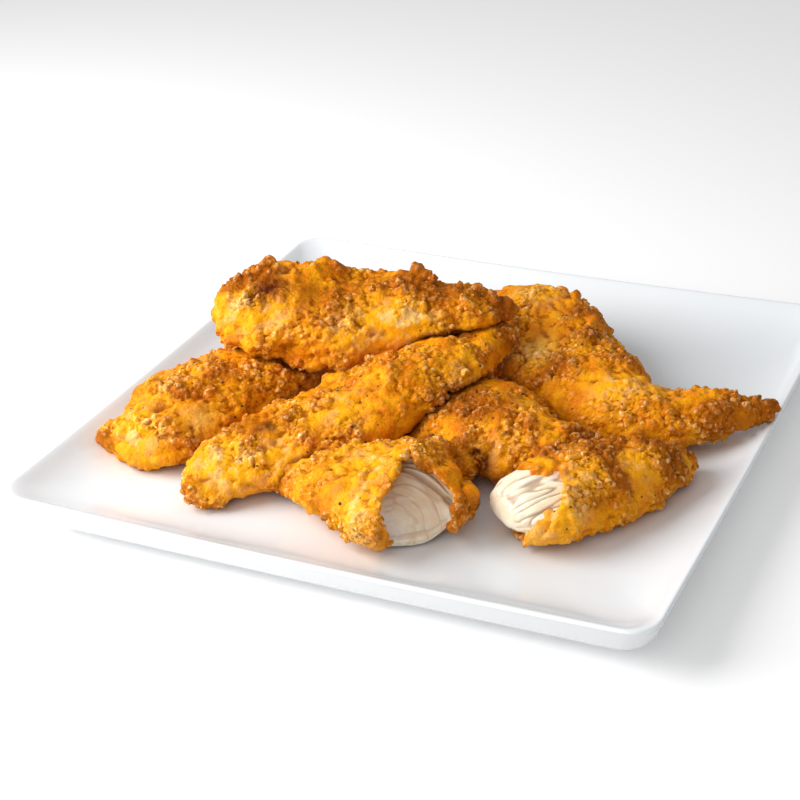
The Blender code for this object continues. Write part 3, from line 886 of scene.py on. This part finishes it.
def cooked_meat(name, node, seed, shaped, drawn_out, fibres, looks):
    """White meat with the ridges of its long fibres, made round the CAD node's form.

    shaped moves the points to the torn surface, drawn_out gives the places in noise that is
    stretched along the fibres, fibres gives their direction, and looks gives four shares: how
    stringy the meat is, how deeply it is split, how much tan tone and painted shade it gets and how
    much painted highlight.
    """
    mesh = cad_copy(name, node, 1)
    mesh = with_modifiers(name, mesh, [("REMESH", {"mode": "VOXEL", "voxel_size": MEAT_GRAIN})])
    points = evened(points_of(mesh), edges_of(mesh), 4)
    move_points(mesh, points)
    points = evened(shaped(points, normals_of(mesh)), edges_of(mesh), 30)
    move_points(mesh, points)
    outward = normals_of(mesh)
    stringy, split, tan_and_shade, painted_highlight = looks(points)
    places = drawn_out(points)
    bundle = ripple(places, BUNDLE_WIDTH, seed)
    strand = ripple(places, STRAND_WIDTH, seed + 1)
    groove = np.clip(1 - np.abs(bundle) * 4.5, 0, 1)
    across = np.clip(1.15 - np.abs(np.einsum("ij,ij->i", outward, fibres(points))) ** 2 * 1.3, 0, 1)
    relief = (-groove * 0.7 + strand * 0.32 + bundle * 0.4 + 0.3) * stringy * across - 1.8 * split
    points += outward * (relief * MM)[:, None]
    points[:, 2] = np.maximum(points[:, 2], MEAT_LOWEST)
    move_points(mesh, points)
    # Painted shade in the creases between fibre bundles; with the split it darkens the meat.
    crease_shade = step_between(groove - 0.5 * strand, 0.1, 1.0) * across * np.clip(stringy, 0, 1)
    mark_points(mesh, "groove", np.clip(crease_shade + split, 0, 1))
    mark_points(mesh, "strand", 0.5 + 0.8 * strand * across)
    mark_points(mesh, "tan_and_shade", np.clip(tan_and_shade, 0, 1))
    mark_points(mesh, "painted_highlight", np.clip(painted_highlight, 0, 1))
    piece = new_piece(name, mesh, white_meat)
    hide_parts(node)
    return piece


white_meat = Paint("cooked_white_meat")
groove_shade_mark = white_meat.mark("groove")
strand_mark = white_meat.mark("strand")
meat_cloud = white_meat.noise(8 * MM, 2.0)
meat_colour = white_meat.mix((0.97, 0.86, 0.66), (0.89, 0.75, 0.53), meat_cloud.between(0.35, 0.7))
meat_colour = white_meat.mix(meat_colour, (0.98, 0.92, 0.80), 0.7 * strand_mark.between(0.5, 1.0))
# Tan tone and painted shade: the front half's meat inside the split is painted darker for shade.
meat_colour = white_meat.mix(meat_colour, (0.70, 0.52, 0.32), 0.8 * white_meat.mark("tan_and_shade"))
# Painted highlight: the meat is painted lighter at the lit bulges of the front half.
meat_colour = white_meat.mix(meat_colour, (0.97, 0.92, 0.84), 0.8 * white_meat.mark("painted_highlight"))
# Painted shade in the creases and in the split.
meat_colour = white_meat.mix(meat_colour, (0.42, 0.26, 0.15), 0.8 * groove_shade_mark)
white_meat.finish(
    Base_Color=meat_colour,
    Roughness=0.34 + 0.2 * meat_cloud,
    Normal=white_meat.bump(white_meat.noise(0.9 * MM, 2.0), 0.25, 0.2 * MM),
    Subsurface_Weight=0.30,
    Subsurface_Radius=(1.0, 0.5, 0.25),
    Subsurface_Scale=1.8 * MM,
)
ARC_CENTRE = np.array(view_ray(395, 529))
SPLIT_RADIUS = 21.5 * MM
SPLIT_WIDTH = 0.9 * MM


def arc_places(points):
    """The radius and angle of each point round a line of sight, and its depth along it."""
    seen = points - np.array(eye)
    depth = seen @ ARC_CENTRE
    across = seen - np.outer(depth, ARC_CENTRE)
    radius = np.linalg.norm(across, axis=1)
    angle = np.arctan2(across @ np.array(view_up), across @ np.array(view_right))
    return radius, angle, depth


def in_arcs(points):
    """Noise places for fibres that bend round a line of sight."""
    radius, angle, depth = arc_places(points)
    return np.stack([radius, angle * 4 * MM, depth * 0.15], axis=1)


def arc_fibres(points):
    """The direction of the fibres that bend round a line of sight."""
    seen = points - np.array(eye)
    outer = seen - np.outer(seen @ ARC_CENTRE, ARC_CENTRE)
    along = np.cross(outer, ARC_CENTRE)
    return along / np.linalg.norm(along, axis=1).clip(1e-9)[:, None]


def front_looks(points):
    """Fine stringy arcs outside one deep split, and smooth meat inside it that is painted darker as shade,
    with painted highlight spots.
    """
    radius, angle, _ = arc_places(points)
    outside = step_between(radius, SPLIT_RADIUS - 1 * MM, SPLIT_RADIUS + 1.5 * MM)
    wavy = SPLIT_RADIUS + 0.7 * MM * np.sin(angle * 5)
    split = np.exp(-((radius - wavy) / SPLIT_WIDTH) ** 2)
    split *= step_between(angle, -0.3, 0.1)
    split *= 1 - step_between(angle, 1.5, 1.9)
    # Painted highlight spots at the lit bulges low on the meat.
    painted_highlight = np.clip(seen_near(points, MOUTH_LIGHTS), 0, 1)
    stringy = (0.40 + 1.5 * outside) * step_between(radius, 3 * MM, 12 * MM) + 0.15 * painted_highlight
    # Painted shade: darker inside the split, less where the highlight is painted.
    tan_and_shade = 0.25 - 0.20 * outside - 0.4 * painted_highlight
    return stringy, 0.9 * split, tan_and_shade, painted_highlight


def seen_at(points):
    """The pixel at which each point is seen."""
    seen = points - np.array(eye)
    depth = -(seen @ np.array(back))
    x = FRAME_PIXELS / 2 + FOCAL_PIXELS * (seen @ np.array(view_right)) / depth
    y = FRAME_PIXELS / 2 - FOCAL_PIXELS * (seen @ np.array(view_up)) / depth
    return x, y


def seen_near(points, spots):
    """How near each point is seen to spots given as (pixel x, pixel y, radius in pixels, amount)."""
    x, y = seen_at(points)
    total = np.zeros(len(points))
    for at_x, at_y, size, amount in spots:
        total += amount * np.exp(-((x - at_x) ** 2 + (y - at_y) ** 2) / size ** 2)
    return total


def inside_mouth(points):
    """How far inside the torn opening each point is seen, in pixels; negative outside it."""
    x, y = seen_at(points)
    inside = np.zeros(len(points), bool)
    nearest = np.full(len(points), 1e6)
    for (x0, y0), (x1, y1) in zip(MOUTH_SEEN, MOUTH_SEEN[1:] + MOUTH_SEEN[:1]):
        share = ((x - x0) * (x1 - x0) + (y - y0) * (y1 - y0)) / ((x1 - x0) ** 2 + (y1 - y0) ** 2)
        share = np.clip(share, 0, 1)
        nearest = np.minimum(nearest, np.hypot(x - x0 - share * (x1 - x0), y - y0 - share * (y1 - y0)))
        if y0 != y1:
            inside ^= ((y0 > y) != (y1 > y)) & (x < x0 + (x1 - x0) * (y - y0) / (y1 - y0))
    return np.where(inside, nearest, -nearest)


def flush_front(points, outward):
    """Moves the meat that faces out of the opening up to the torn edge of the coating."""
    facing = np.array(MOUTH_FACING)
    height = (points - np.array(MOUTH_PLACE)) @ facing
    wanted = np.full(len(points), 0.4 * MM)
    wanted += seen_near(points, MOUTH_SWELLS) * MM
    share = step_between(inside_mouth(points), -1.5, 3.0) * step_between(outward @ facing, -0.75, -0.25)
    share *= step_between(height, -18 * MM, -12 * MM)
    return points + facing * ((wanted - height) * share)[:, None]


MOUTH_SEEN = [
    (410, 452), (419, 459), (426, 467), (438, 475), (447, 486), (452, 497), (454, 506), (453, 517),
    (451, 530), (449, 552), (415, 562), (380, 560), (384, 543), (379, 524), (380, 510), (383, 498),
    (393, 482), (401, 466),
]
MOUTH_PLACE = Vector((16.4, -68.7, 33.0)) * MM
MOUTH_FACING = Vector((0.355, -0.590, 0.725)).normalized()
MOUTH_LIGHTS = [(387, 518, 10, 0.8), (399, 534, 14, 0.8), (386, 536, 10, 0.7), (447, 512, 6, 0.7),
                (449, 524, 6, 0.7), (425, 478, 8, 0.4), (412, 462, 8, 0.3)]
MOUTH_SWELLS = [(398, 484, 14, -0.8), (390, 530, 14, 0.8), (405, 540, 14, 0.4), (442, 496, 10, 0.6)]
cooked_meat("half_front_meat", "torn_front_meat", 21, flush_front, in_arcs, arc_fibres, front_looks)


# Right torn half
# The other half of a strip, torn across. Its meat stands out of the coating in long soft strands,
# and the coating ends in a ragged edge round it.

breaded(
    "half_right_coat", "torn_right_coating", 17, meat="torn_right_meat",
    ragged=((69, -67, 24), (-0.55, -0.42, 0.72)),
    lumps=[(590, 470, 9, 1.0), (640, 460, 9, 1.0), (570, 520, 8, 1.0), (660, 455, 7, 1.0)],
    knobs=[(668, 436, 2.4), (655, 436, 2.2)],
    flaps=[(524, 465, 3.0), (531, 464, 3.4), (538, 465, 3.4), (545, 467, 3.4), (552, 470, 3.2),
           (526, 470, 3.0), (533, 470, 3.0), (540, 472, 3.2), (547, 474, 3.0), (516, 538, 2.6),
           (523, 538, 2.8), (530, 536, 3.0), (538, 530, 2.8), (545, 524, 2.6), (551, 516, 2.4)],
    browned=[(668, 440, 9, 1.5), (605, 442, 8, 1.4), (675, 469, 7, 0.9), (655, 444, 7, 0.7),
             (604, 467, 8, 0.5), (617, 492, 9, 0.5), (553, 449, 7, 0.5)],
    burnt_and_shade=[(675, 455, 5, 0.4)],
    smooth_and_highlight=[(566, 518, 8, 0.8), (580, 480, 7, 0.7), (640, 470, 8, 0.5)],
    pale=[(538, 538, 6, 0.4)],
)
STRAND_DIRECTION = np.array(Vector((-0.70, -0.62, -0.33)).normalized())


def in_strands(points):
    """Noise places for fibres that run along the strip."""
    return points - np.outer(points @ STRAND_DIRECTION, STRAND_DIRECTION) * 0.90


def strand_fibres(points):
    return np.tile(STRAND_DIRECTION, (len(points), 1))


def drawn_back(points, outward):
    """Swells the meat a little and draws its torn end back towards the coating, and rounds it."""
    along = points @ STRAND_DIRECTION
    end = along.max()
    share = step_between(along, end - 16 * MM, end)
    centre = points[along > end - 12 * MM].mean(axis=0)
    inward = centre - points
    inward -= np.outer(inward @ STRAND_DIRECTION, STRAND_DIRECTION)
    swollen = points + outward * 1.0 * MM
    drawn = swollen - STRAND_DIRECTION * (share * 3.5 * MM)[:, None]
    return drawn + inward * (0.25 * share)[:, None]


def right_looks(points):
    """Long soft strands all over, light in colour."""
    nothing = np.zeros(len(points))
    return nothing + 0.95, nothing, nothing + 0.1, nothing


cooked_meat("half_right_meat", "torn_right_meat", 22, drawn_back, in_strands, strand_fibres, right_looks)


# Pepper
# Coarse ground black pepper in the crumb: flat dark chips, about a millimetre across. All are one
# piece, those that show in front one by one and the rest by chance.

PEPPER_SEEN = [
    (143, 408), (189, 397), (292, 407), (242, 406), (235, 417), (257, 466), (295, 429), (352, 427),
    (326, 438), (378, 386), (367, 396), (360, 402), (331, 470), (360, 498), (378, 425), (426, 372),
    (418, 369), (566, 344), (550, 358), (553, 374), (622, 404), (493, 418), (506, 432), (563, 445),
    (596, 449), (579, 478), (601, 481), (610, 498), (460, 498),
]
PEPPER_HIDDEN = 90
CHIP_RADIUS = (0.35, 0.7)  # in mm


def seen_on_crust(start, direction):
    """The nearest place and outward direction where a ray meets a coating."""
    hits = [tree.ray_cast(start, direction) for tree in crusts]
    hits = [hit for hit in hits if hit[0] is not None]
    return min(hits, key=lambda hit: hit[3])[:2] if hits else (None, None)


pepper = Paint("black_pepper")
pepper_colour = pepper.mix((0.020, 0.010, 0.006), (0.10, 0.045, 0.02), pepper.noise(2 * MM))
pepper.finish(Base_Color=pepper_colour, Roughness=0.6)
chance = random.Random(5)
pepper_bm = bmesh.new()
rays = [(eye, view_ray(*pixel)) for pixel in PEPPER_SEEN]
for _ in range(PEPPER_HIDDEN):
    side = Vector((chance.gauss(0, 1), chance.gauss(0, 1), abs(chance.gauss(0, 1)))).normalized()
    target = Vector((chance.uniform(-0.10, 0.10), chance.uniform(-0.08, 0.06), 0.02))
    rays.append((target + side * 0.3, -side))
for start, direction in rays:
    place, outward = seen_on_crust(start, direction)
    if place is not None:
        turn = outward.to_track_quat("Z", "Y").to_matrix().to_4x4()
        turn = turn @ Matrix.Rotation(chance.uniform(0, 3), 4, "Z")
        flat = Matrix.Diagonal((chance.uniform(0.8, 1.4), chance.uniform(0.7, 1.0), 0.5, 1))
        matrix = Matrix.Translation(place) @ turn @ flat
        radius = chance.uniform(*CHIP_RADIUS) * MM
        bmesh.ops.create_icosphere(pepper_bm, subdivisions=1, radius=radius, matrix=matrix)
pepper_mesh = bpy.data.meshes.new("pepper_chips")
pepper_bm.to_mesh(pepper_mesh)
pepper_bm.free()
new_piece("pepper_chips", pepper_mesh, pepper)
